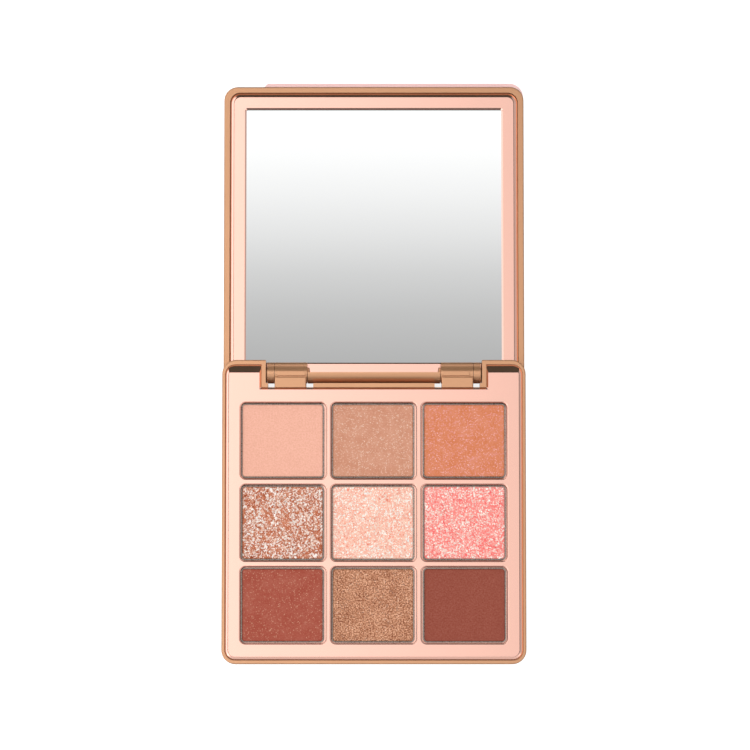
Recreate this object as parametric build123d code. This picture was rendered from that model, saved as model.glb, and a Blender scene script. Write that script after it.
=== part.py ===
from build123d import *
import os
from math import cos, hypot, radians, sin

# Square pressed-powder eyeshadow palette, modelled open: the lid lies flat behind the case.
# Units are mm.  +X is right, +Y runs from the case to the open lid, +Z is up, and the
# origin is on the underside, at the centre of the closed palette's square outline.

# ---------------------------------------------------------------- driving dimensions
# Case
case_side = 84.0
case_height = 11.0
corner_radius = 3.9
rim_width = 0.8
rear_rim_width = 1.2
front_rim_width = 1.0
notch_rim_width = 1.15
case_floor = 1.2
case_wall = 2.0
wall_under_tab = 1.2
foot_edge = 0.8
rim_edge = 0.3

# Hinge
axis_inset = 3.4
axis_drop = 3.0
barrel_radius = 2.95
pin_radius = 0.8
pin_clearance = 0.05
notch_half_width = 29.95
notch_wall_gap = 3.04
recess_depth = 0.75
recess_ledge_z = 5.5
recess_from = 16.8
recess_to = 29.35
lug_from = 18.75
lug_to = 27.5
lug_top_inset = 1.25
lug_depth = 2.0
knuckle_from = 18.55
knuckle_to = 27.5
pad_on_knuckle = (18.95, 26.6)
pad_front = 1.0
pad_rear = 0.45
pad_groove = 0.6
cheek_from = 27.6
cheek_to = 29.55
skirt_to = 18.35
skirt_setback = 0.75
tab_clearance = 0.15
swing_clearance = 0.2

# Tray with its pans
plate_drop = 0.3
plate_thickness = 1.2
plate_gap = 0.1
bevel_width = 0.9
notch_bevel_width = 0.5
bevel_depth = 0.3
bevel_blend = 0.8
rear_bevel_width = 2.2
rear_bevel_depth = 0.5
well_pitch_x = 25.0
well_pitch_y = 22.7
well_centre_y = -3.05
well_width = 23.5
well_length = 20.95
well_corner = 1.3
well_wall = 1.0
well_floor = 0.8
well_edge = 0.45
pan_width = 22.9
pan_length = 20.6
pan_height = 4.0
pan_wall = 0.35
pan_corner = 1.15
pan_shift = {"left": -0.25, "centre": -0.25, "right": 0.0}
powder_drop = 0.25
powder_edge = 0.12
pad_width = 12.0
pad_length = 10.0
pad_thickness = 0.3

# Lid
lid_width = 83.8
lid_corner_radius = 3.8
lid_rim_width = 1.6
lid_pocket_radius = 2.9
pocket_setback = 1.6
parting_gap = 0.1
cover_thickness = 0.9
cover_edge = 0.3
lip_reach = 1.6
lip_start_x = -31.4
lid_floor = 1.0
tape_thickness = 0.2
tape_margin = 3.0
glass_thickness = 1.0
glass_lap = 0.4
mirror_width = 71.4
mirror_border = 6.3
frame_lip = 1.5
frame_gap = 0.15
frame_relief = 0.1
frame_bevel_width = 1.0
frame_bevel_depth = 0.35
opening_bevel_width = 0.42
opening_bevel_depth = 0.9
tongue_taper = 0.5

# Magnets that hold the lid shut
magnet_length = 8.0
magnet_width = 2.0
magnet_height = 1.3
magnet_x = 22.0
magnet_inset = 3.3

# ---------------------------------------------------------------- derived positions
half_side = case_side / 2
axis_y = half_side - axis_inset
axis_z = case_height - axis_drop
lid_rim_z = axis_z - axis_drop - parting_gap
lid_free_y = 2 * axis_y + half_side
lid_rear_y = 2 * axis_y - half_side
lid_centre_y = (lid_free_y + lid_rear_y) / 2
tab_bottom_z = axis_z - axis_drop + parting_gap
notch_y = axis_y - notch_wall_gap
recess_y = notch_y - recess_depth
skirt_y = axis_y - barrel_radius + skirt_setback
plate_top_z = case_height - plate_drop
plate_bottom_z = plate_top_z - plate_thickness
well_floor_z = plate_top_z - 0.5 - pan_height - pad_thickness
well_bottom_z = well_floor_z - well_floor
pan_bottom_z = well_floor_z + pad_thickness
pan_top_z = pan_bottom_z + pan_height
tape_bottom_z = cover_thickness + lid_floor
glass_bottom_z = tape_bottom_z + tape_thickness
glass_top_z = glass_bottom_z + glass_thickness
frame_top_z = glass_top_z + frame_lip
mirror_front_y = lid_rear_y + mirror_border + 0.3
mirror_back_y = lid_free_y - mirror_border
mirror_centre_y = (mirror_front_y + mirror_back_y) / 2
mirror_length = mirror_back_y - mirror_front_y
tray_centre_y = (front_rim_width - rear_rim_width) / 2
hinge_line = Axis((0, axis_y, axis_z), (1, 0, 0))
columns = {"left": -1, "centre": 0, "right": 1}
rows = {"rear": 1, "middle": 0, "front": -1}


# ---------------------------------------------------------------- helpers
def slab(width, length, radius, bottom, top, centre_y=0.0, centre_x=0.0):
    """Block with rounded vertical corners, between two heights."""
    outline = Pos(centre_x, centre_y, bottom) * RectangleRounded(width, length, radius)
    return extrude(outline, amount=top - bottom)


def block(x_from, x_to, y_from, y_to, z_from, z_to):
    """Plain block between two corners."""
    size = (x_to - x_from, y_to - y_from, z_to - z_from)
    centre = Pos((x_from + x_to) / 2, (y_from + y_to) / 2, (z_from + z_to) / 2)
    return centre * Box(*size)


def bar(x_from, x_to, radius):
    """Round bar on the hinge line."""
    centre = Pos((x_from + x_to) / 2, axis_y, axis_z)
    return centre * Rot(0, 90, 0) * Cylinder(radius, x_to - x_from)


def both_sides(solid):
    """The solid with its mirror image across the palette's middle plane."""
    return solid + mirror(solid, about=Plane.YZ)


def edges_at(solid, height):
    """Edges that lie wholly at one height."""
    return solid.edges().filter_by_position(Axis.Z, height - 1e-4, height + 1e-4)


def write(solid, name):
    """Save one sub-part under its name."""
    solid.label = name
    export_step(solid, os.path.join("parts", name + ".step"))


# ---------------------------------------------------------------- case
def tray_outline(inset):
    """Outline of the recess that takes the tray, stepped round the hinge notch."""
    width = case_side - 2 * rim_width - 2 * inset
    length = case_side - front_rim_width - rear_rim_width - 2 * inset
    outline = Pos(0, tray_centre_y) * RectangleRounded(width, length, corner_radius - 1.0)
    notch_width = 2 * (notch_half_width + notch_rim_width + inset)
    notch_edge = notch_y - notch_rim_width - inset
    notch_length = case_side - notch_edge
    return outline - Pos(0, notch_edge + notch_length / 2) * Rectangle(notch_width, notch_length)


def hinge_knuckle():
    """Lug flush with the case rim and the knuckle that takes the pin, on the right."""
    lug = block(lug_from, lug_to, notch_y - notch_rim_width, axis_y - lug_top_inset,
                axis_z - lug_depth, case_height)
    rear_edge = edges_at(lug, case_height).filter_by(Axis.X).sort_by(Axis.Y)[-1]
    lug = fillet(edges_at(lug, case_height).filter_by(Axis.Y) + [rear_edge], rim_edge)
    knuckle = bar(knuckle_from, knuckle_to, barrel_radius)
    pad_from, pad_to = pad_on_knuckle
    groove = block(pad_from, pad_to, axis_y - lug_top_inset, axis_y - pad_front,
                   case_height - pad_groove, case_height)
    pad = block(pad_from, pad_to, axis_y - pad_front, axis_y + pad_rear, axis_z, case_height)
    pad = fillet(edges_at(pad, case_height), 0.2)
    return lug + (knuckle - groove) + pad


def make_case():
    body = slab(case_side, case_side, corner_radius, 0, case_height)
    body = fillet(edges_at(body, case_height), rim_edge)

    # Step under the rear edge, where the open lid tucks in.
    body -= block(-case_side, case_side, recess_y, case_side, -1, tab_bottom_z)
    foot = body.edges().filter_by_position(Axis.Z, -1e-4, 1e-4)
    body = fillet(foot, foot_edge)

    # Hinge notch, with deeper recesses beside the lugs.
    body -= block(-notch_half_width, notch_half_width, notch_y, case_side, -1, case_height + 1)
    body -= both_sides(block(recess_from, recess_to, recess_y, case_side, -1, case_height + 1))

    # Recess for the tray, open to the recesses beside the lugs, and the hollow below it.
    body -= extrude(Pos(0, 0, plate_bottom_z) * tray_outline(0), amount=case_height)
    ledge_y = notch_y - notch_rim_width - plate_gap
    body -= both_sides(block(recess_from, recess_to, ledge_y, case_side, plate_bottom_z,
                             case_height + 1))
    for x_from, x_to in ((recess_from, lug_from), (lug_to, recess_to)):
        body -= both_sides(block(x_from, x_to, ledge_y, case_side, recess_ledge_z,
                                 plate_bottom_z + 0.1))
    hollow_half = half_side - case_wall
    hollow_rear = recess_y - wall_under_tab
    hollow_length = hollow_rear + hollow_half
    body -= slab(2 * hollow_half, hollow_length, corner_radius - case_wall, case_floor,
                 plate_bottom_z + 0.1, (hollow_rear - hollow_half) / 2)
    tab_from = notch_half_width + case_wall
    body -= both_sides(block(tab_from, hollow_half, hollow_rear - 1, half_side - case_wall,
                             tab_bottom_z + wall_under_tab, plate_bottom_z + 0.1))

    # Ribs that carry the tray, and posts that carry the magnets.
    for x in (-well_pitch_x / 2, well_pitch_x / 2):
        body += block(x - 0.6, x + 0.6, -hollow_half, hollow_rear, case_floor, well_bottom_z)
    magnet_y = magnet_inset - half_side
    post = block(magnet_x - magnet_length / 2, magnet_x + magnet_length / 2,
                 -hollow_half - 0.1, magnet_y + magnet_width / 2, case_floor,
                 plate_bottom_z - magnet_height)
    body += both_sides(post)

    body += both_sides(hinge_knuckle())
    body -= both_sides(bar(knuckle_from - 1, knuckle_to + 1, pin_radius))
    return body


# ---------------------------------------------------------------- tray, pans and powders
def well_centres():
    """Name, column, x and y of each of the nine wells."""
    for row, row_step in rows.items():
        for column, column_step in columns.items():
            x = column_step * well_pitch_x
            y = well_centre_y + row_step * well_pitch_y
            yield row + "_" + column, column, x, y


def make_tray():
    plate = extrude(Pos(0, 0, plate_bottom_z) * tray_outline(plate_gap), amount=plate_thickness)

    def beside_notch(edge):
        place = edge.center()
        return (abs(place.X) < notch_half_width + 2
                and notch_y - 5 < place.Y < half_side - rear_rim_width - 0.2)

    top_face = plate.faces().sort_by(Axis.Z)[-1]
    outer_edges = [edge for edge in edges_at(plate, plate_top_z) if not beside_notch(edge)]
    plate = chamfer(outer_edges, bevel_width, bevel_depth, reference=top_face)
    crest = [edge for edge in edges_at(plate, plate_top_z) if edge.center().Y < notch_y - 5]
    plate = fillet(crest, bevel_blend)
    top_face = plate.faces().sort_by(Axis.Z)[-1]
    notch_edges = [edge for edge in edges_at(plate, plate_top_z) if beside_notch(edge)]
    plate = chamfer(notch_edges, notch_bevel_width, bevel_depth, reference=top_face)

    # Wide shallow bevel along the rear edge of the two corner tabs.
    rear = half_side - rear_rim_width - plate_gap
    lower = plate_top_z - rear_bevel_depth
    wedge = Polygon((rear - rear_bevel_width, plate_top_z), (rear, lower),
                    (rear + 1, lower), (rear + 1, plate_top_z + 1),
                    (rear - rear_bevel_width, plate_top_z + 1), align=None)
    plate -= extrude(Plane.YZ.offset(-half_side) * wedge, amount=case_side)

    width = 2 * well_pitch_x + well_width + 2 * well_wall
    length = 2 * well_pitch_y + well_length + 2 * well_wall
    tray = plate + slab(width, length, well_corner + well_wall, well_bottom_z,
                        plate_bottom_z, well_centre_y)
    for name, column, x, y in well_centres():
        tray -= slab(well_width, well_length, well_corner, well_floor_z, case_height, y, x)
    openings = [edge for edge in edges_at(tray, plate_top_z)
                if abs(edge.center().X) < width / 2 and edge.center().Y < notch_y - 4]
    openings = [edge for edge in openings if edge.center().Y > -half_side + 4]
    return fillet(openings, well_edge)


def make_pan(x, y):
    pan = slab(pan_width, pan_length, pan_corner, pan_bottom_z, pan_top_z, y, x)
    pan -= slab(pan_width - 2 * pan_wall, pan_length - 2 * pan_wall, pan_corner - pan_wall,
                pan_bottom_z + pan_wall, pan_top_z + 1, y, x)
    return fillet(edges_at(pan, pan_top_z), pan_wall * 0.4)


def make_powder(x, y):
    top = pan_top_z - powder_drop
    powder = slab(pan_width - 2 * pan_wall, pan_length - 2 * pan_wall, pan_corner - pan_wall,
                  pan_bottom_z + pan_wall, top, y, x)
    return chamfer(edges_at(powder, top), powder_edge)


def make_glue_pads():
    pads = [block(x - pad_width / 2, x + pad_width / 2, y - pad_length / 2, y + pad_length / 2,
                  well_floor_z, pan_bottom_z) for name, column, x, y in well_centres()]
    return Compound(children=pads)


# ---------------------------------------------------------------- lid
def lid_profile():
    """Section of the lid, whose lower rear edge is a quarter round centred under the hinge."""
    radius = axis_inset
    bulge = radius * (1 - cos(radians(45)))
    path = Line((axis_y, 0), (lid_free_y, 0))
    path += Line((lid_free_y, 0), (lid_free_y, lid_rim_z))
    path += Line((lid_free_y, lid_rim_z), (lid_rear_y, lid_rim_z))
    path += Line((lid_rear_y, lid_rim_z), (lid_rear_y, radius))
    path += ThreePointArc((lid_rear_y, radius), (lid_rear_y + bulge, bulge), (axis_y, 0))
    return make_face(path)


def hinge_section(x_from, x_to, foot_reach, barrel_reach):
    """Barrel about the hinge line, carried down to the lid plate."""
    foot = block(x_from, x_to, skirt_y, axis_y + foot_reach, lid_rim_z - 1, axis_z)
    keep = block(x_from, x_to, notch_y, axis_y + barrel_reach + 0.01, 0, case_height)
    return foot + (bar(x_from, x_to, barrel_radius) & keep)


def tab_sweep():
    """Space that the case's rear corner tab needs as the lid swings, on the right."""
    def reach(depth):
        return hypot(depth, axis_drop) + swing_clearance

    arc_centre = half_side - corner_radius
    turns = [radians(step) for step in range(0, 91, 30)]
    rounded = [(arc_centre + corner_radius * sin(turn),
                reach(arc_centre + corner_radius * cos(turn) - axis_y)) for turn in turns]
    start = notch_half_width - tab_clearance
    end = half_side + 1.0
    outline = Polyline((start, 0), (start, reach(axis_inset)), *rounded, (end, rounded[-1][1]),
                       (end, 0), close=True)
    section = Plane((0, axis_y, axis_z), x_dir=(1, 0, 0), z_dir=(0, -1, 0)) * make_face(outline)
    return revolve(section, hinge_line)


def lid_pocket(inset, bottom, top):
    """Recess inside the lid rim, from just behind the hinge to the free edge."""
    width = lid_width - 2 * lid_rim_width - 2 * inset
    rear = axis_y + pocket_setback + inset
    length = lid_free_y - lid_rim_width - inset - rear
    radius = lid_pocket_radius
    pocket = slab(width, length, radius, bottom, top, rear + length / 2)
    square_rear = block(-width / 2, width / 2, rear, rear + 2 * radius, bottom, top)
    return pocket + square_rear


def tongue(inset, bottom, top):
    """Tapered tongue of the lid pocket, up to the skirt between the two hinge knuckles."""
    rear = axis_y + barrel_radius
    half = skirt_to - inset
    front = axis_y + inset
    outline = Polyline((-half, rear), (tongue_taper - half, front), (half - tongue_taper, front),
                       (half, rear), close=True)
    return extrude(Pos(0, 0, bottom) * make_face(outline), amount=top - bottom)


def make_lid_shell():
    split = notch_half_width - tab_clearance
    outline = slab(lid_width, case_side, lid_corner_radius, 0, lid_rim_z, lid_centre_y)
    shell = outline & extrude(Plane.YZ.offset(-half_side) * lid_profile(), amount=case_side)
    shell = fillet(edges_at(shell, lid_rim_z), rim_edge)
    shell -= block(-split, split, 0, skirt_y, -1, case_height)

    # Seat for the cover panel, and the pocket for the mirror and its frame.
    shell -= block(-half_side, half_side, axis_y + 1.4, lid_free_y + 1, -1, cover_thickness)
    shell -= lid_pocket(0, tape_bottom_z, lid_rim_z + 1)
    shell -= tongue(0, tape_bottom_z, lid_rim_z + 1)
    shell -= both_sides(block(knuckle_from - 0.2, cheek_from, axis_y - 5, axis_y + barrel_radius + 1,
                              lid_rim_z - 0.3, lid_rim_z + 1))

    # Hinge: one wide skirt in the middle, one cheek outside each knuckle.
    shell += hinge_section(-skirt_to, skirt_to, 0.0, 0.0)
    shell += both_sides(hinge_section(cheek_from, cheek_to, pocket_setback, barrel_radius))
    shell -= both_sides(bar(cheek_from - 0.1, cheek_to + 0.1, pin_radius + pin_clearance))
    shell -= both_sides(tab_sweep())
    return shell


def make_frame():
    frame = lid_pocket(frame_gap, tape_bottom_z, frame_top_z)
    top_face = frame.faces().sort_by(Axis.Z)[-1]
    rim_edges = [edge for edge in edges_at(frame, frame_top_z)
                 if edge.center().Y > mirror_front_y]
    frame = chamfer(rim_edges, frame_bevel_width, frame_bevel_depth, reference=top_face)
    crest = [edge for edge in edges_at(frame, frame_top_z) if edge.center().Y > mirror_front_y]
    frame = fillet(crest, bevel_blend)

    # Tongue up to the skirt, opening over the glass, and the seat for the glass under it.
    frame += tongue(frame_gap, tape_bottom_z, frame_top_z)
    frame -= slab(mirror_width, mirror_length, 0.3, 0, lid_rim_z + 1, mirror_centre_y)
    opening = [edge for edge in edges_at(frame, frame_top_z)
               if abs(edge.center().X) < mirror_width / 2 + 0.1
               and mirror_front_y - 0.1 < edge.center().Y < mirror_back_y + 0.1]
    top_face = frame.faces().filter_by(Axis.Z).sort_by(Axis.Z)[-1]
    frame = chamfer(opening, opening_bevel_width, opening_bevel_depth, reference=top_face)
    lap = 2 * glass_lap + 2 * frame_relief
    frame -= slab(mirror_width + lap, mirror_length + lap, 0.8, 0, glass_top_z, mirror_centre_y)
    frame -= both_sides(tab_sweep())
    for x in (-magnet_x, magnet_x):
        frame -= lid_magnet(x)
    return frame


def make_glass():
    glass = slab(mirror_width + 2 * glass_lap, mirror_length + 2 * glass_lap, 0.8,
                 glass_bottom_z, glass_top_z, mirror_centre_y)
    return glass - both_sides(tab_sweep())


def make_tape():
    return slab(mirror_width - 2 * tape_margin, mirror_length - 2 * tape_margin, 1.0,
                tape_bottom_z, glass_bottom_z, mirror_centre_y)


def make_cover():
    rear = axis_y + 1.4
    length = lid_free_y - rear
    cover = slab(lid_width, length + corner_radius, lid_corner_radius, 0, cover_thickness,
                 (rear - corner_radius + lid_free_y) / 2)
    lip_width = lid_width / 2 - lip_start_x
    lip = slab(lip_width, length, lid_corner_radius, 0, cover_thickness,
               lid_free_y - length / 2 + lip_reach, lip_start_x + lip_width / 2)
    corner_cut = Polygon((lip_start_x - 1, lid_free_y), (lip_start_x, lid_free_y),
                         (lip_start_x + 5, lid_free_y + 5), (lip_start_x - 1, lid_free_y + 5),
                         align=None)
    lip -= block(lip_start_x - 1, half_side + 1, 0, lid_free_y - 8, -1, 2)
    square = block(lip_start_x, 0, lid_free_y - 6, lid_free_y + lip_reach, 0, cover_thickness)
    cover += lip + square
    cover -= extrude(Pos(0, 0, -1) * corner_cut, amount=3)
    cover -= block(-half_side, half_side, 0, rear, -1, 2)
    return fillet(edges_at(cover, 0), cover_edge)


# ---------------------------------------------------------------- magnets and pins
def magnet(x, y, bottom):
    return block(x - magnet_length / 2, x + magnet_length / 2, y - magnet_width / 2,
                 y + magnet_width / 2, bottom, bottom + magnet_height)


def base_magnet(x):
    return magnet(x, magnet_inset - half_side, plate_bottom_z - magnet_height)


def lid_magnet(x):
    return magnet(x, lid_free_y - magnet_inset, tape_bottom_z)


def hinge_pin(side):
    pin = bar(knuckle_from + 0.8, cheek_to - 0.2, pin_radius)
    pin = chamfer(pin.edges(), 0.15)
    return pin if side == "right" else mirror(pin, about=Plane.YZ)


# ---------------------------------------------------------------- sub-parts
shades = {
    "rear_left": "shadow_peach_matte",
    "rear_centre": "shadow_tan_shimmer",
    "rear_right": "shadow_orange_satin",
    "middle_left": "shadow_copper_glitter",
    "middle_centre": "shadow_champagne_glitter",
    "middle_right": "shadow_coral_glitter",
    "front_left": "shadow_brick_satin",
    "front_centre": "shadow_bronze_metallic",
    "front_right": "shadow_cocoa_matte",
}

os.makedirs("parts", exist_ok=True)
write(make_case(), "base_case")
write(make_tray(), "pan_tray")
for well_name, well_column, well_x, well_y in well_centres():
    pan_x = well_x + pan_shift[well_column]
    write(make_pan(pan_x, well_y), "pan_" + well_name)
    write(make_powder(pan_x, well_y), shades[well_name])
write(make_glue_pads(), "pan_glue_pads")
write(make_lid_shell(), "lid_shell")
write(make_frame(), "mirror_frame")
write(make_glass(), "mirror")
write(make_tape(), "mirror_tape")
write(make_cover(), "lid_cover_panel")
for hand, sign in (("left", -1), ("right", 1)):
    write(base_magnet(sign * magnet_x), "base_magnet_" + hand)
    write(lid_magnet(sign * magnet_x), "lid_magnet_" + hand)
    write(hinge_pin(hand), "hinge_pin_" + hand)
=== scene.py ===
"""Square eyeshadow palette lying open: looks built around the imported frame.

Units are metres.  +X is right, +Y runs from the case to the open lid and +Z is up.
"""
import math

import bpy
import numpy as np
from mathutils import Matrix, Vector


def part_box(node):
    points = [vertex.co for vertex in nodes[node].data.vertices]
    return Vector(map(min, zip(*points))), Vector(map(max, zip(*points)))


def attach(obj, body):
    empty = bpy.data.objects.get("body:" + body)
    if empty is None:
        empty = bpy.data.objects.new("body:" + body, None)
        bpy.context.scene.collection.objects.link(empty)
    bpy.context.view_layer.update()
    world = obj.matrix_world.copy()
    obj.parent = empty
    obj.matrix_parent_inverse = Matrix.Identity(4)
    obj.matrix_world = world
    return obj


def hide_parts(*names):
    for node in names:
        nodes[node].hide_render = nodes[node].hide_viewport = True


MM = 0.001
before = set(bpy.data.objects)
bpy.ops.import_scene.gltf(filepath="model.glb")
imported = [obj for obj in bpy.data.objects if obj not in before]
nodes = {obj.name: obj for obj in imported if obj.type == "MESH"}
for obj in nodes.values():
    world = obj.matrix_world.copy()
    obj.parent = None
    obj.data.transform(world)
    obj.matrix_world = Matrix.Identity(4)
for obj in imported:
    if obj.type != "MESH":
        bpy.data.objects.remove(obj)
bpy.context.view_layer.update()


# ---------------------------------------------------------------- colour and node helpers
def srgb(red, green, blue):
    """Linear colour of an 8-bit display colour."""
    def linear(value):
        value /= 255
        return value / 12.92 if value <= 0.04045 else ((value + 0.055) / 1.055) ** 2.4

    return (linear(red), linear(green), linear(blue), 1.0)


def scaled(colour, factor):
    """The colour made lighter or darker, kept within what a surface can reflect."""
    return tuple(min(part * factor, 0.98) for part in colour[:3]) + (1.0,)


def fill_ramp(node, stops):
    """Give a colour ramp its stops: a list of (position, colour), in order."""
    line = node.color_ramp.elements
    line[0].position = stops[0][0]
    line[-1].position = stops[-1][0]
    for stop in stops[1:-1]:
        line.new(stop[0])
    for element, stop in zip(line, stops):
        element.color = stop[1]


def grey(level):
    """Neutral colour of one level."""
    return (level, level, level, 1.0)


class Shader:
    """A node material with one Principled surface and short ways to add nodes to it."""

    def __init__(self, name, **values):
        self.material = bpy.data.materials.new(name)
        self.material.use_nodes = True
        self.tree = self.material.node_tree
        self.surface = self.tree.nodes["Principled BSDF"]
        for socket, value in values.items():
            self.surface.inputs[socket.replace("_", " ")].default_value = value
        self.place = self.tree.nodes.new("ShaderNodeTexCoord").outputs["Object"]

    def add(self, kind, settings=None, **inputs):
        node = self.tree.nodes.new(kind)
        for name, value in (settings or {}).items():
            setattr(node, name, value)
        for name, value in inputs.items():
            socket = node.inputs[name.replace("_", " ")]
            if isinstance(value, bpy.types.NodeSocket):
                self.tree.links.new(value, socket)
            else:
                socket.default_value = value
        return node

    def noise(self, size, detail=2.0, rough=0.5):
        """Soft noise from 0 to 1 whose features are about size metres wide."""
        node = self.add("ShaderNodeTexNoise", Vector=self.place, Scale=1 / size, Detail=detail,
                        Roughness=rough)
        return node.outputs[0]

    def facing_up(self):
        """How far the surface faces the part's own top: 1 on top, 0 on a wall."""
        facing = self.tree.nodes.new("ShaderNodeTexCoord").outputs["Normal"]
        return self.add("ShaderNodeSeparateXYZ", Vector=facing).outputs["Z"]

    def cells(self, size):
        """Cells about size metres wide: the distance to a cell's centre, and the cell's tone."""
        node = self.add("ShaderNodeTexVoronoi", Vector=self.place, Scale=1 / size)
        tone = self.add("ShaderNodeSeparateColor", Color=node.outputs["Color"])
        return node.outputs["Distance"], tone.outputs[0]

    def remap(self, value, low, high, to_low=0.0, to_high=1.0):
        """Carry low..high smoothly over to to_low..to_high."""
        node = self.add("ShaderNodeMapRange", {"interpolation_type": "SMOOTHSTEP"}, Value=value)
        node.inputs["From Min"].default_value = low
        node.inputs["From Max"].default_value = high
        node.inputs["To Min"].default_value = to_low
        node.inputs["To Max"].default_value = to_high
        return node.outputs[0]

    def maths(self, operation, first, second=0.0):
        node = self.add("ShaderNodeMath", {"operation": operation})
        for socket, value in zip(node.inputs, (first, second)):
            if isinstance(value, bpy.types.NodeSocket):
                self.tree.links.new(value, socket)
            else:
                socket.default_value = value
        return node.outputs[0]

    def ramp(self, value, stops):
        """Colour read from a list of (position, colour)."""
        node = self.add("ShaderNodeValToRGB", Fac=value)
        fill_ramp(node, stops)
        return node.outputs[0]

    def mix(self, share, first, second):
        """Colour between the first (share 0) and the second (share 1)."""
        node = self.add("ShaderNodeMix", {"data_type": "RGBA"})
        for index, value in ((0, share), (6, first), (7, second)):
            if isinstance(value, bpy.types.NodeSocket):
                self.tree.links.new(value, node.inputs[index])
            else:
                node.inputs[index].default_value = value
        return node.outputs[2]

    def bump(self, height, depth, strength=1.0):
        node = self.add("ShaderNodeBump", Height=height, Distance=depth, Strength=strength)
        self.link(node.outputs[0], "Normal")

    def link(self, output, socket):
        self.tree.links.new(output, self.surface.inputs[socket])


def finish_node(name, material):
    """Give a CAD node its own finish."""
    slots = nodes[name].data.materials
    for index in range(max(len(slots), 1)):
        if slots:
            slots[index] = material
        else:
            slots.append(material)


# ---------------------------------------------------------------- materials of the hard parts
def satin_lacquer(name, colour):
    """Pearl lacquer over moulded plastic: satin, with fine mica and a slow drift in its gloss."""
    shader = Shader(name, Metallic=0.8, Roughness=0.3, Coat_Weight=0.2, Coat_Roughness=0.12)
    mica = shader.noise(0.3 * MM, 1.0)
    drift = shader.noise(14 * MM, 2.0)
    tone = shader.maths("ADD", shader.maths("MULTIPLY", mica, 0.5),
                        shader.maths("MULTIPLY", drift, 0.5))
    shader.link(shader.ramp(tone, [(0.3, scaled(colour, 0.97)), (0.7, scaled(colour, 1.02))]),
                "Base Color")
    shader.link(shader.remap(drift, 0.3, 0.7, 0.28, 0.32), "Roughness")
    return shader.material


def rose_gold(name, colour):
    """Polished rose-gold metallising on a moulded plate; upright walls miss it, and their
    near-black brown is painted shade of the recesses they line.
    """
    shader = Shader(name)
    haze = shader.noise(9 * MM, 3.0, 0.6)
    metal = shader.ramp(haze, [(0.3, scaled(colour, 0.985)), (0.7, scaled(colour, 1.01))])
    metal_top_shaded_wall = shader.remap(shader.facing_up(), 0.1, 0.35)
    # painted shade: unmetallised upright walls get a near-black brown in place of the shade that
    # falls in the recesses
    shader.link(shader.mix(metal_top_shaded_wall, srgb(58, 34, 24), metal), "Base Color")
    shader.link(metal_top_shaded_wall, "Metallic")
    shader.link(shader.remap(haze, 0.35, 0.7, 0.11, 0.15), "Roughness")
    shader.bump(shader.noise(2.5 * MM, 1.0), 0.0015 * MM, 0.5)
    return shader.material


def pan_metal():
    """Pressed tinplate with fine drawing marks down its wall."""
    shader = Shader("pan_metal_worn", Metallic=1.0, Roughness=0.3)
    marks = shader.noise(0.25 * MM, 3.0, 0.6)
    shader.link(shader.ramp(marks, [(0.3, srgb(142, 130, 120)), (0.7, srgb(198, 188, 180))]),
                "Base Color")
    shader.link(shader.remap(marks, 0.3, 0.7, 0.24, 0.38), "Roughness")
    return shader.material


def silvered_glass():
    """Mirror: clean silver with a trace of haze."""
    shader = Shader("mirror_silver", Base_Color=(0.965, 0.972, 0.97, 1), Metallic=1.0,
                    Roughness=0.0)
    haze = shader.noise(22 * MM, 2.0)
    shader.link(shader.remap(haze, 0.55, 0.8, 0.004, 0.02), "Roughness")
    return shader.material


def gloss_panel():
    """Glossy pink cover panel with a soft pearl under its clear coat."""
    pink = srgb(253, 211, 209)
    shader = Shader("cover_gloss_pink", Roughness=0.22, Coat_Weight=0.6, Coat_Roughness=0.06,
                    Metallic=0.1)
    pearl = shader.noise(0.15 * MM, 1.0)
    shader.link(shader.ramp(pearl, [(0.35, scaled(pink, 0.96)), (0.65, scaled(pink, 1.03))]),
                "Base Color")
    shader.bump(shader.noise(1.5 * MM, 1.0), 0.002 * MM, 0.4)
    return shader.material


def ground_steel(name, light, dark, roughness):
    """Bare ground metal with fine grinding marks."""
    shader = Shader(name, Metallic=1.0, Roughness=roughness)
    grind = shader.noise(0.12 * MM, 3.0, 0.7)
    shader.link(shader.ramp(grind, [(0.3, dark), (0.7, light)]), "Base Color")
    shader.link(shader.remap(grind, 0.3, 0.7, roughness - 0.05, roughness + 0.08), "Roughness")
    shader.bump(grind, 0.002 * MM, 0.4)
    return shader.material


def soft_sheet(name, colour, cell, depth):
    """Foam tape or set glue: pale, dull and slightly pitted."""
    shader = Shader(name, Roughness=0.7)
    distance, tone = shader.cells(cell)
    shader.link(shader.ramp(tone, [(0.0, scaled(colour, 0.9)), (1.0, scaled(colour, 1.05))]),
                "Base Color")
    shader.bump(distance, depth, 0.7)
    return shader.material


# ---------------------------------------------------------------- pressed powders
def smooth_noise(xs, ys, cell, rng):
    """Noise of about -1 to 1 at points, on a random lattice with cells of one size."""
    columns = int(np.ptp(xs) / cell) + 3
    lines = int(np.ptp(ys) / cell) + 3
    lattice = rng.uniform(-1, 1, (columns + 1, lines + 1))
    u = (xs - xs.min()) / cell
    v = (ys - ys.min()) / cell
    i = u.astype(int)
    j = v.astype(int)
    s = u - i
    t = v - j
    s = s * s * (3 - 2 * s)
    t = t * t * (3 - 2 * t)
    low = lattice[i, j] * (1 - s) + lattice[i + 1, j] * s
    high = lattice[i, j + 1] * (1 - s) + lattice[i + 1, j + 1] * s
    return low * (1 - t) + high * t


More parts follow.
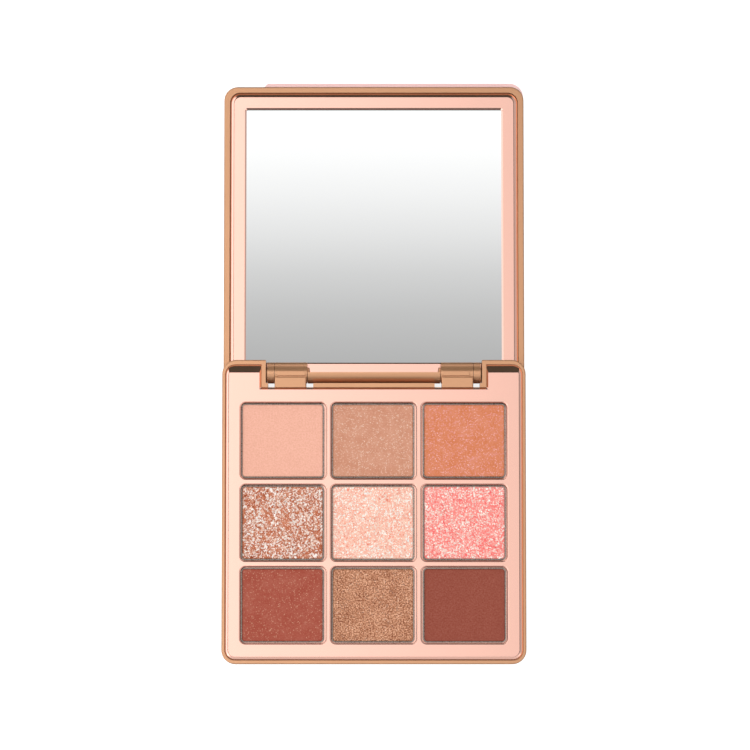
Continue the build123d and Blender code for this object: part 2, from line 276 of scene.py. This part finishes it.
def rounded_grid(low, high, radius, step):
    """Grid of points over a rectangle whose corners are bent round to an arc."""
    middle = ((low.x + high.x) / 2, (low.y + high.y) / 2)
    half = ((high.x - low.x) / 2, (high.y - low.y) / 2)
    counts = [int(round(2 * side / step)) + 1 for side in half]
    x, y = np.meshgrid(*(np.linspace(-side, side, n) for side, n in zip(half, counts)),
                       indexing="ij")
    over_x = np.clip(np.abs(x) - (half[0] - radius), 0, None)
    over_y = np.clip(np.abs(y) - (half[1] - radius), 0, None)
    reach = np.hypot(over_x, over_y)
    share = np.where(reach > 0, np.maximum(over_x, over_y) / np.maximum(reach, 1e-12), 1)
    bent_x = np.sign(x) * (np.abs(x) - over_x * (1 - share))
    bent_y = np.sign(y) * (np.abs(y) - over_y * (1 - share))
    return bent_x + middle[0], bent_y + middle[1]


def edge_distance(xs, ys, low, high, radius):
    """Distance from points inward to the edge of a rounded rectangle."""
    dx = np.abs(xs - (low.x + high.x) / 2) - ((high.x - low.x) / 2 - radius)
    dy = np.abs(ys - (low.y + high.y) / 2) - ((high.y - low.y) / 2 - radius)
    outside = np.hypot(np.clip(dx, 0, None), np.clip(dy, 0, None))
    return radius - outside - np.minimum(np.maximum(dx, dy), 0)


def new_mesh(name, points, faces, material, body):
    mesh = bpy.data.meshes.new(name)
    mesh.from_pydata([tuple(point) for point in points], [], faces)
    mesh.materials.append(material)
    mesh.update()
    piece = bpy.data.objects.new(name, mesh)
    bpy.context.scene.collection.objects.link(piece)
    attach(piece, body)
    return piece


POWDER_STEP = 0.15 * MM
POWDER_CORNER = 0.8 * MM
POWDER_EDGE = 0.3 * MM
EDGE_SINK = 0.09 * MM
FLAKE_MARGIN = 0.25 * MM
FLAKE_RADII = (0.08, 0.5)
FLAKE_SPREAD = 0.35
FLAKE_LIFT = 0.04 * MM
STEEPEST_TILT = 0.7
CLUMP_TONE = 0.12


def surface_height(shade, xs, ys, low, high):
    """Height of a pressed powder's surface under its top plane: grain, dips and rolled edge."""
    rng = np.random.default_rng(shade["seed"])
    height = np.zeros_like(xs)
    for cell, depth in shade["relief"]:
        height += depth * MM * smooth_noise(xs, ys, cell * MM, rng)
    height -= sum(depth for cell, depth in shade["relief"]) * MM
    inward = edge_distance(xs, ys, low, high, POWDER_CORNER)
    roll = np.clip(1 - inward / POWDER_EDGE, 0, 1)
    return high.z + height - EDGE_SINK * roll ** 2


def make_powder(node, shade, material):
    """Closed block of pressed powder with a modelled, grainy top."""
    low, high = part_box(node)
    x, y = rounded_grid(low, high, POWDER_CORNER, POWDER_STEP)
    columns, lines = x.shape
    top = surface_height(shade, x.ravel(), y.ravel(), low, high)
    points = list(zip(x.ravel(), y.ravel(), top))
    faces = []
    for i in range(columns - 1):
        for j in range(lines - 1):
            corner = i * lines + j
            faces.append((corner, corner + lines, corner + lines + 1, corner + 1))
    ring = [i * lines for i in range(columns)]
    ring += [(columns - 1) * lines + j for j in range(1, lines)]
    ring += [i * lines + lines - 1 for i in range(columns - 2, -1, -1)]
    ring += list(range(lines - 2, 0, -1))
    base = len(points)
    points += [(points[index][0], points[index][1], low.z) for index in ring]
    count = len(ring)
    for k in range(count):
        after = (k + 1) % count
        faces.append((ring[after], ring[k], base + k, base + after))
    faces.append(tuple(range(base + count - 1, base - 1, -1)))
    piece = new_mesh(node.replace("shadow_", "") + "_powder", points, faces, material, "case")
    smooth = np.zeros(len(piece.data.polygons), bool)
    smooth[: (columns - 1) * (lines - 1)] = True
    piece.data.polygons.foreach_set("use_smooth", smooth)
    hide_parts(node)
    return piece


def make_flakes(node, shade, flake, material):
    """Loose-looking glitter flakes bedded in the powder: thin many-sided plates, each a solid."""
    low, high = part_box(node)
    rng = np.random.default_rng(shade["seed"] + 1)
    count = flake["count"]
    xs = rng.uniform(low.x + FLAKE_MARGIN, high.x - FLAKE_MARGIN, count)
    ys = rng.uniform(low.y + FLAKE_MARGIN, high.y - FLAKE_MARGIN, count)
    keep = edge_distance(xs, ys, low, high, POWDER_CORNER) > FLAKE_MARGIN
    clump = smooth_noise(xs, ys, flake["clump"] * MM, rng)
    keep &= rng.uniform(-1, 1, count) < clump * flake["clumping"] + 1 - flake["clumping"] / 2
    xs, ys, clump = xs[keep], ys[keep], clump[keep]
    ground = surface_height(shade, xs, ys, low, high)
    points, faces, tones = [], [], []
    for x, y, z, crowding in zip(xs, ys, ground, clump):
        sides = int(rng.integers(5, 8))
        drawn = rng.lognormal(math.log(flake["radius"]), FLAKE_SPREAD)
        radius = MM * float(np.clip(drawn, *FLAKE_RADII))
        turn = rng.uniform(0, 2 * math.pi)
        tilt = np.clip(rng.normal(0, flake["tilt"], 2), -STEEPEST_TILT, STEEPEST_TILT)
        normal = Vector((tilt[0], tilt[1], 1)).normalized()
        across = Vector((math.cos(turn), math.sin(turn), 0))
        across = (across - normal * across.dot(normal)).normalized()
        along = normal.cross(across)
        centre = Vector((x, y, z + rng.uniform(0.2, 1.0) * FLAKE_LIFT))
        long = rng.uniform(0.6, 1.0)
        start = len(points)
        for level in (0.5, -0.5):
            for k in range(sides):
                angle = 2 * math.pi * (k + rng.uniform(-0.25, 0.25) * (level > 0)) / sides
                if level > 0:
                    reach = across * math.cos(angle) * radius
                    reach = reach + along * math.sin(angle) * radius * long
                    points.append(centre + reach + normal * flake["thick"] * MM * 0.5)
                else:
                    above = points[start + k]
                    points.append(above - normal * flake["thick"] * MM)
        faces.append(tuple(range(start, start + sides)))
        faces.append(tuple(range(start + 2 * sides - 1, start + sides - 1, -1)))
        for k in range(sides):
            after = (k + 1) % sides
            faces.append((start + after, start + k, start + sides + k, start + sides + after))
        tone = float(np.clip(rng.beta(*flake["tones"]) + CLUMP_TONE * crowding, 0, 1))
        tones += [tone] * (sides + 2)
    piece = new_mesh(node.replace("shadow_", "") + "_flakes", points, faces, material, "case")
    attribute = piece.data.attributes.new("tone", "FLOAT", "FACE")
    attribute.data.foreach_set("value", tones)
    return piece


def powder_material(node, shade):
    """Pressed powder: fine pigment grain, soft mottling, and pearl specks where it has any."""
    deep, base, light = shade["colours"]
    shader = Shader(node + "_pressed", Metallic=shade["pearl"] * 0.5, Roughness=shade["rough"],
                    Specular_IOR_Level=shade["gloss"])
    grain = shader.noise(shade["grain"] * MM, 2.0, 0.6)
    mottle = shader.noise(3.0 * MM, 2.0)
    tone = shader.maths("ADD", shader.maths("MULTIPLY", grain, 1 - shade["mottle"]),
                        shader.maths("MULTIPLY", mottle, shade["mottle"]))
    spread = shade["spread"]
    colour = shader.ramp(tone, [(0.5 - spread, deep), (0.5, base), (0.5 + spread, light)])
    for size, share, speck in shade["specks"]:
        distance, chance = shader.cells(size * MM)
        chosen = shader.remap(chance, 1 - share - 0.02, 1 - share + 0.02)
        disc = shader.remap(distance, 0.2, 0.55, 1.0, 0.0)
        colour = shader.mix(shader.maths("MULTIPLY", chosen, disc), colour, speck)
    shader.link(colour, "Base Color")
    shader.bump(grain, shade["bump"] * MM, 0.8)
    return shader.material


def flake_material(node, flake):
    """Metallised glitter film: each flake has its own tone."""
    shader = Shader(node + "_glitter", Metallic=flake["metal"], Roughness=flake["rough"])
    tone = shader.add("ShaderNodeAttribute", {"attribute_name": "tone"}).outputs["Fac"]
    shader.link(shader.ramp(tone, flake["colours"]), "Base Color")
    shader.bump(shader.noise(0.1 * MM, 1.0), 0.003 * MM, 0.5)
    return shader.material


# relief: (cell, depth) in millimetres; specks: (cell, share of cells, colour)
FINE = [(0.35, 0.006), (2.4, 0.012)]
SATIN = [(0.3, 0.010), (2.4, 0.012)]
shades = {
    "shadow_peach_matte": {
        "seed": 11, "relief": FINE, "pearl": 0.0, "rough": 0.85, "gloss": 0.25,
        "colours": [srgb(229, 167, 145), srgb(238, 178, 156), srgb(245, 188, 168)],
        "grain": 0.4, "mottle": 0.12, "spread": 0.2, "bump": 0.01, "specks": [],
    },
    "shadow_tan_shimmer": {
        "seed": 12, "relief": SATIN, "pearl": 0.3, "rough": 0.55, "gloss": 0.5,
        "colours": [srgb(201, 135, 106), srgb(209, 146, 118), srgb(216, 159, 134)],
        "grain": 0.3, "mottle": 0.35, "spread": 0.13, "bump": 0.02,
        "specks": [(0.42, 0.3, srgb(224, 178, 155)), (0.32, 0.16, srgb(236, 210, 191))],
    },
    "shadow_orange_satin": {
        "seed": 13, "relief": SATIN, "pearl": 0.3, "rough": 0.55, "gloss": 0.5,
        "colours": [srgb(212, 119, 72), srgb(219, 131, 92), srgb(224, 143, 114)],
        "grain": 0.3, "mottle": 0.35, "spread": 0.14, "bump": 0.02,
        "specks": [(0.42, 0.4, srgb(228, 155, 150)), (0.32, 0.14, srgb(242, 194, 190))],
    },
    "shadow_copper_glitter": {
        "seed": 14, "relief": [(0.45, 0.05), (1.4, 0.04)], "pearl": 0.6, "rough": 0.45,
        "gloss": 0.6, "colours": [srgb(158, 72, 38), srgb(198, 110, 73), srgb(222, 149, 116)],
        "grain": 0.3, "mottle": 0.3, "spread": 0.14, "bump": 0.05,
        "specks": [(0.4, 0.35, srgb(240, 191, 168))],
    },
    "shadow_champagne_glitter": {
        "seed": 15, "relief": [(0.4, 0.03), (1.4, 0.02)], "pearl": 0.3, "rough": 0.5,
        "gloss": 0.5, "colours": [srgb(246, 167, 144), srgb(250, 190, 167), srgb(252, 210, 191)],
        "grain": 0.35, "mottle": 0.3, "spread": 0.16, "bump": 0.03,
        "specks": [(0.4, 0.35, srgb(253, 230, 214))],
    },
    "shadow_coral_glitter": {
        "seed": 16, "relief": [(0.4, 0.03), (1.4, 0.02)], "pearl": 0.3, "rough": 0.5,
        "gloss": 0.5, "colours": [srgb(252, 122, 118), srgb(253, 146, 138), srgb(253, 170, 160)],
        "grain": 0.35, "mottle": 0.3, "spread": 0.16, "bump": 0.03,
        "specks": [(0.4, 0.25, srgb(253, 208, 196))],
    },
    "shadow_brick_satin": {
        "seed": 17, "relief": SATIN, "pearl": 0.2, "rough": 0.6, "gloss": 0.4,
        "colours": [srgb(157, 64, 46), srgb(166, 79, 61), srgb(175, 95, 77)],
        "grain": 0.3, "mottle": 0.35, "spread": 0.14, "bump": 0.02,
        "specks": [(0.42, 0.2, srgb(186, 119, 96)), (0.32, 0.09, srgb(208, 156, 130))],
    },
    "shadow_bronze_metallic": {
        "seed": 18, "relief": [(0.3, 0.03), (2.0, 0.01)], "pearl": 1.0, "rough": 0.4,
        "gloss": 0.6, "colours": [srgb(122, 62, 36), srgb(193, 129, 94), srgb(248, 194, 160)],
        "grain": 0.38, "mottle": 0.15, "spread": 0.15, "bump": 0.06,
        "specks": [(0.4, 0.16, srgb(248, 208, 182)), (0.4, 0.12, srgb(122, 66, 42))],
    },
    "shadow_cocoa_matte": {
        "seed": 19, "relief": FINE, "pearl": 0.0, "rough": 0.85, "gloss": 0.25,
        "colours": [srgb(137, 65, 51), srgb(148, 77, 62), srgb(158, 89, 74)],
        "grain": 0.4, "mottle": 0.12, "spread": 0.2, "bump": 0.01, "specks": [],
    },
}
flakes = {
    "shadow_copper_glitter": {
        "count": 5400, "radius": 0.215, "tilt": 0.22, "thick": 0.03, "clump": 2.2,
        "clumping": 0.5, "metal": 0.35, "rough": 0.35, "tones": (0.8, 0.55),
        "colours": [(0.0, srgb(176, 80, 42)), (0.3, srgb(212, 136, 100)),
                    (0.6, srgb(240, 202, 183)), (1.0, srgb(255, 246, 240))],
    },
    "shadow_champagne_glitter": {
        "count": 5400, "radius": 0.175, "tilt": 0.18, "thick": 0.025, "clump": 2.6,
        "clumping": 0.3, "metal": 0.2, "rough": 0.35, "tones": (0.7, 0.6),
        "colours": [(0.0, srgb(244, 148, 124)), (0.35, srgb(250, 194, 172)),
                    (0.65, srgb(254, 229, 213)), (1.0, srgb(255, 253, 248))],
    },
    "shadow_coral_glitter": {
        "count": 5400, "radius": 0.185, "tilt": 0.2, "thick": 0.025, "clump": 2.6,
        "clumping": 0.3, "metal": 0.2, "rough": 0.35, "tones": (0.7, 0.6),
        "colours": [(0.0, srgb(252, 104, 104)), (0.35, srgb(253, 158, 148)),
                    (0.65, srgb(254, 214, 202)), (1.0, srgb(255, 249, 240))],
    },
}


# ---------------------------------------------------------------- build the object
shell_colour = srgb(222, 166, 126)
plate_colour = (0.98, 0.575, 0.468, 1.0)
lacquer = satin_lacquer("case_satin_rose_tan", shell_colour)
plate = rose_gold("plate_rose_gold", plate_colour)
tin = pan_metal()
finish_node("base_case", lacquer)
finish_node("lid_shell", lacquer)
finish_node("pan_tray", plate)
finish_node("mirror_frame", plate)
finish_node("mirror", silvered_glass())
finish_node("lid_cover_panel", gloss_panel())
finish_node("mirror_tape", soft_sheet("tape_foam", srgb(240, 238, 232), 0.3 * MM, 0.05 * MM))
finish_node("pan_glue_pads", soft_sheet("glue_set", srgb(236, 230, 214), 1.2 * MM, 0.06 * MM))
pin_steel = ground_steel("pin_ground_steel", srgb(205, 203, 200), srgb(168, 166, 163), 0.28)
nickel = ground_steel("magnet_nickel", srgb(212, 208, 200), srgb(180, 176, 170), 0.22)
for name in nodes:
    if name.startswith("pan_") and name.split("_")[1] in ("rear", "middle", "front"):
        finish_node(name, tin)
    if name.startswith("hinge_pin"):
        finish_node(name, pin_steel)
    if "magnet" in name:
        finish_node(name, nickel)
for node, shade in shades.items():
    make_powder(node, shade, powder_material(node, shade))
    if node in flakes:
        make_flakes(node, shade, flakes[node], flake_material(node, flakes[node]))


# ---------------------------------------------------------------- camera
CAMERA_TARGET = Vector((0.30, 38.03, 8.0)) * MM
CAMERA_DISTANCE = 1.0
CAMERA_ELEVATION = math.radians(85.64)
camera_data = bpy.data.cameras.new("camera")
camera_data.lens = 172.9
camera_data.sensor_width = 36.0
camera_data.clip_start = 0.01
camera_data.clip_end = 100.0
camera = bpy.data.objects.new("camera", camera_data)
bpy.context.scene.collection.objects.link(camera)
back = Vector((0, -math.cos(CAMERA_ELEVATION), math.sin(CAMERA_ELEVATION)))
camera.location = CAMERA_TARGET + back * CAMERA_DISTANCE
camera.rotation_mode = "QUATERNION"
camera.rotation_quaternion = (-back).to_track_quat("-Z", "Y")
bpy.context.scene.camera = camera
bpy.context.scene.view_settings.view_transform = "Standard"


# ---------------------------------------------------------------- floor and light
def make_floor():
    """Plain white sweep that glows a little.  It is clear from below and lights nothing."""
    reach = 6.0
    mesh = bpy.data.meshes.new("floor")
    corners = [(-reach, -reach), (reach, -reach), (reach, reach), (-reach, reach)]
    mesh.from_pydata([(x, y, -0.05 * MM) for x, y in corners], [], [(0, 1, 2, 3)])
    shader = Shader("floor_white", Base_Color=(0.5, 0.5, 0.5, 1), Roughness=0.9,
                    Specular_IOR_Level=0.0, Emission_Color=(1, 1, 1, 1), Emission_Strength=0.86)
    clear = shader.tree.nodes.new("ShaderNodeBsdfTransparent")
    sides = shader.add("ShaderNodeMixShader",
                       Fac=shader.tree.nodes.new("ShaderNodeNewGeometry").outputs["Backfacing"])
    shader.tree.links.new(shader.surface.outputs[0], sides.inputs[1])
    shader.tree.links.new(clear.outputs[0], sides.inputs[2])
    output = shader.tree.nodes["Material Output"]
    shader.tree.links.new(sides.outputs[0], output.inputs["Surface"])
    mesh.materials.append(shader.material)
    floor = bpy.data.objects.new("floor", mesh)
    floor.visible_diffuse = False
    floor.visible_glossy = False
    floor.visible_shadow = False
    bpy.context.scene.collection.objects.link(floor)


def area_light(name, place, width, length, radiance, glossy=True, diffuse=True, ramp=None):
    """Rectangular light facing down.  A ramp scales its radiance along one edge, 0 X and 1 Y."""
    light = bpy.data.lights.new(name, "AREA")
    light.shape = "RECTANGLE"
    light.size = width
    light.size_y = length
    light.energy = radiance * math.pi * width * length
    light.use_nodes = True
    tree = light.node_tree
    axis, stops = ramp or (0, [(0, 1), (1, 1)])
    parts = tree.nodes.new("ShaderNodeSeparateXYZ")
    tree.links.new(tree.nodes.new("ShaderNodeNewGeometry").outputs["Parametric"], parts.inputs[0])
    curve = tree.nodes.new("ShaderNodeValToRGB")
    tree.links.new(parts.outputs[axis], curve.inputs[0])
    fill_ramp(curve, [(position, grey(level)) for position, level in stops])
    tree.links.new(curve.outputs[0], tree.nodes["Emission"].inputs["Strength"])
    holder = bpy.data.objects.new(name, light)
    bpy.context.scene.collection.objects.link(holder)
    holder.location = place
    holder.visible_glossy = glossy
    holder.visible_diffuse = diffuse
    return holder


def link_light(light, targets, include):
    """Let a light reach only these objects, or every object but these."""
    group = bpy.data.collections.new(light.name + "_targets")
    for target in targets:
        group.objects.link(target)
    light.light_linking.receiver_collection = group
    if not include:
        for entry in group.collection_objects:
            entry.light_linking.link_state = "EXCLUDE"


def make_world():
    """Studio surroundings, by angle from straight up towards +X and towards +Y."""
    world = bpy.data.worlds.new("studio")
    world.use_nodes = True
    bpy.context.scene.world = world
    tree = world.node_tree
    background = tree.nodes["Background"]
    direction = tree.nodes.new("ShaderNodeTexCoord").outputs["Generated"]
    parts = tree.nodes.new("ShaderNodeSeparateXYZ")
    tree.links.new(direction, parts.inputs[0])

    def maths(kind, operation, first, second):
        """One step of arithmetic, on numbers (Math) or on colours (VectorMath)."""
        node = tree.nodes.new("ShaderNode" + kind)
        node.operation = operation
        for socket, value in zip(node.inputs, (first, second)):
            if isinstance(value, bpy.types.NodeSocket):
                tree.links.new(value, socket)
            else:
                socket.default_value = value
        return node.outputs[0]

    def ramp(value, stops):
        node = tree.nodes.new("ShaderNodeValToRGB")
        tree.links.new(value, node.inputs[0])
        fill_ramp(node, stops)
        return node.outputs[0]

    def by_angle(part, stops):
        """Colour by angle in degrees, from -90 to 90."""
        angle = maths("Math", "ARCTAN2", parts.outputs[part], parts.outputs["Z"])
        share = maths("Math", "ADD", maths("Math", "DIVIDE", angle, math.pi), 0.5)
        return ramp(share, [(degrees / 180 + 0.5, colour) for degrees, colour in stops])

    olive = (0.075, 0.078, 0.06, 1)
    along = by_angle("Y", [(-88, grey(0.03)), (-75, grey(0.05)), (-60, grey(0.15)),
                           (-42, grey(0.6)), (-32, grey(0.9)), (-22, grey(0.8)),
                           (-17, grey(0.15)), (18, grey(0.12)), (23, olive), (60, olive),
                           (75, grey(0.25)), (88, grey(0.4))])
    across = by_angle("X", [(-88, grey(0.3)), (-64, grey(0.9)), (-48, grey(1.3)),
                            (-34, grey(1.3)), (-27, grey(0.0)), (27, grey(0.0)),
                            (34, grey(0.5)), (62, grey(0.45)), (88, grey(0.3))])
    height = maths("Math", "ADD", maths("Math", "MULTIPLY", parts.outputs["Z"], 0.5), 0.5)
    above = ramp(height, [(0.0, grey(0)), (0.495, grey(0)), (0.505, grey(1)), (1.0, grey(1))])
    horizon = ramp(height, [(0.0, grey(0.06)), (0.46, grey(0.06)), (0.48, grey(1.05)),
                            (0.51, grey(1.05)), (0.55, grey(0)), (1.0, grey(0))])
    studio = maths("VectorMath", "MULTIPLY", maths("VectorMath", "ADD", along, across), above)
    total = maths("VectorMath", "MAXIMUM", studio, horizon)
    tree.links.new(total, background.inputs["Color"])


make_floor()
make_world()
glass = nodes["mirror"]
key = area_light("softbox_top", (0.0, 0.05, 1.3), 0.7, 0.8, 1.75, ramp=(0, [(0, 1), (1, 0.18)]))
link_light(key, [glass], False)
fill = area_light("fill_diffuse", (-0.3, 0.3, 1.3), 1.2, 1.2, 2.15, glossy=False)
link_light(fill, [glass], False)
panel = area_light("mirror_panel", (0, 0.42, 1.25), 1.0, 0.6, 1.0, diffuse=False,
                   ramp=(1, [(0, 0.28), (0.046, 0.36), (0.0875, 0.43), (0.129, 0.54),
                            (0.1705, 0.68), (0.212, 0.8), (0.254, 0.9), (0.3, 0.95), (1, 1)]))
link_light(panel, [glass], True)
under = area_light("underside_fill", (0, 0.04, -1.0), 1.2, 1.2, 0.55)
under.rotation_euler.x = math.pi
link_light(under, [nodes[name] for name in ("base_case", "lid_shell", "lid_cover_panel")], True)
